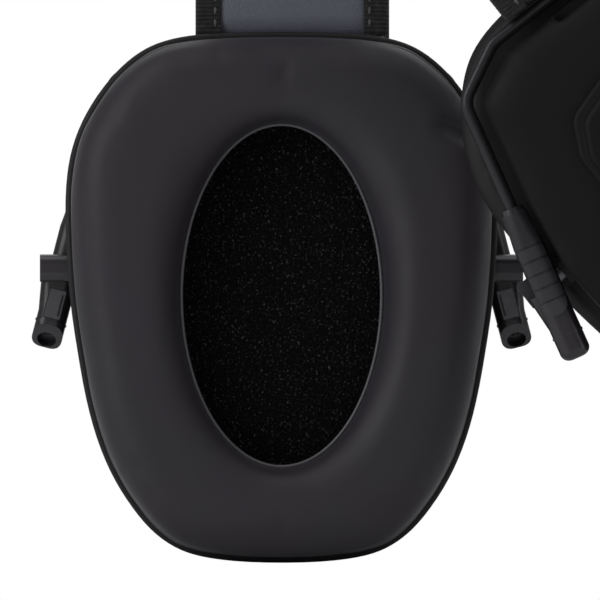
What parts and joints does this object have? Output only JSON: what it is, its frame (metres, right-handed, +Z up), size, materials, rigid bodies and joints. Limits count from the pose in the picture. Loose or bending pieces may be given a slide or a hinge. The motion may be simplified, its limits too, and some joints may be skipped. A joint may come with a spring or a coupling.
{
  "type": "earmuff hearing protector",
  "caption": "Slim over-ear hearing protector: foam-filled cups with oval ear cushions on sliding wire yokes, joined by a padded, fanned headband.",
  "frame": {"origin": "centre of the flat raised panel on cup A, on its outer face", "axes": "+Z up toward the headband crown, X ear to ear with cup A at -X, Y back to front; cup B is fanned toward +Y"},
  "size_m": [0.1005, 0.1924, 0.2085],
  "materials": {
    "shell_plastic": "fine matte",
    "ring_plastic": "matte",
    "cushion_skin": "soft matte",
    "foam": "open cell",
    "band_leather": "fine grain satin",
    "cover_leather": "fine grain satin",
    "webbing": "ribbed",
    "spring_steel": "drawn",
    "yoke_steel": "satin black",
    "slider_plastic": "satin",
    "grip_rubber": "matte ribbed",
    "screw_steel": "blackened"
  },
  "bodies": {
    "crown": {"crown_pad": "band_leather", "crown_wires": "spring_steel"},
    "band_a": {"band_panel_a": "band_leather", "band_cover_a": "cover_leather", "band_binding_a": "webbing", "band_wires_a": "spring_steel", "hinge_inner_a": "slider_plastic", "hinge_outer_a": "slider_plastic", "hinge_screws_a": "screw_steel"},
    "yoke_a": {"yoke_wire_a": "yoke_steel"},
    "slider_front_a": {"slider_front_a": "slider_plastic", "grip_front_a": "grip_rubber", "clip_front_a": "screw_steel"},
    "slider_rear_a": {"slider_rear_a": "slider_plastic", "grip_rear_a": "grip_rubber", "clip_rear_a": "screw_steel"},
    "pins_a": {"pivot_pins_a": "screw_steel"},
    "cup_a": {"cup_shell_a": "shell_plastic", "cup_cover_a": "shell_plastic", "cover_panel_a": "shell_plastic", "cushion_ring_a": "ring_plastic", "cushion_a": "cushion_skin", "absorber_foam_a": "foam"},
    "band_b": {"band_panel_b": "band_leather", "band_cover_b": "cover_leather", "band_binding_b": "webbing", "band_wires_b": "spring_steel", "hinge_inner_b": "slider_plastic", "hinge_outer_b": "slider_plastic", "hinge_screws_b": "screw_steel"},
    "yoke_b": {"yoke_wire_b": "yoke_steel"},
    "slider_front_b": {"slider_front_b": "slider_plastic", "grip_front_b": "grip_rubber", "clip_front_b": "screw_steel"},
    "slider_rear_b": {"slider_rear_b": "slider_plastic", "grip_rear_b": "grip_rubber", "clip_rear_b": "screw_steel"},
    "pins_b": {"pivot_pins_b": "screw_steel"},
    "cup_b": {"cup_shell_b": "shell_plastic", "cup_cover_b": "shell_plastic", "cover_panel_b": "shell_plastic", "cushion_ring_b": "ring_plastic", "cushion_b": "cushion_skin", "absorber_foam_b": "foam"}
  },
  "joints": [
    {"name": "band_spread", "type": "hinge", "parent": "crown", "child": "band_a", "pos_m": [0.04594, 0, 0.14725], "axis": [0, 1, 0], "range_deg": [0, 40]},
    {"name": "band_fan", "type": "hinge", "parent": "crown", "child": "band_b", "pos_m": [0.04994, 0.0085, 0.1435], "axis": [1, 0, 0], "range_deg": [-38.5, 6.5]},
    {"name": "yoke_swing_a", "type": "hinge", "parent": "band_a", "child": "yoke_a", "pos_m": [0.0134, 0, 0.05], "axis": [0, -1, 0], "range_deg": [-12, 4.5]},
    {"name": "height_a", "type": "slide", "parent": "yoke_a", "child": "pins_a", "axis": [0, 0, 1], "range_m": [-0.018, 0]},
    {"name": "leg_front_a", "type": "slide", "parent": "yoke_a", "child": "slider_front_a", "axis": [0, -0.2504, 0.9681], "range_m": [-0.019, 0.0005]},
    {"name": "leg_rear_a", "type": "slide", "parent": "yoke_a", "child": "slider_rear_a", "axis": [0, 0.2504, 0.9681], "range_m": [-0.019, 0.0005]},
    {"name": "tilt_a", "type": "hinge", "parent": "pins_a", "child": "cup_a", "pos_m": [0.0172, 0, 0.0053], "axis": [0, 1, 0], "range_deg": [-2, 8]},
    {"name": "yoke_swing_b", "type": "hinge", "parent": "band_b", "child": "yoke_b", "pos_m": [0.08647, 0.06005, 0.06503], "axis": [0, 0.7826, 0.6225], "range_deg": [-12, 4.5]},
    {"name": "height_b", "type": "slide", "parent": "yoke_b", "child": "pins_b", "axis": [0, -0.6225, 0.7826], "range_m": [-0.018, 0]},
    {"name": "leg_front_b", "type": "slide", "parent": "yoke_b", "child": "slider_front_b", "axis": [0, -0.4067, 0.9135], "range_m": [-0.019, 0.0005]},
    {"name": "leg_rear_b", "type": "slide", "parent": "yoke_b", "child": "slider_rear_b", "axis": [0, -0.7986, 0.6018], "range_m": [-0.019, 0.0005]},
    {"name": "tilt_b", "type": "hinge", "parent": "pins_b", "child": "cup_b", "pos_m": [0.08267, 0.08788, 0.03005], "axis": [0, -0.7826, -0.6225], "range_deg": [-2, 8]}
  ],
  "couplings": [
    {"joint": "leg_front_a", "follows": "height_a", "ratio": 1.0329},
    {"joint": "leg_rear_a", "follows": "height_a", "ratio": 1.0329},
    {"joint": "leg_front_b", "follows": "height_b", "ratio": 1.0329},
    {"joint": "leg_rear_b", "follows": "height_b", "ratio": 1.0329}
  ]
}
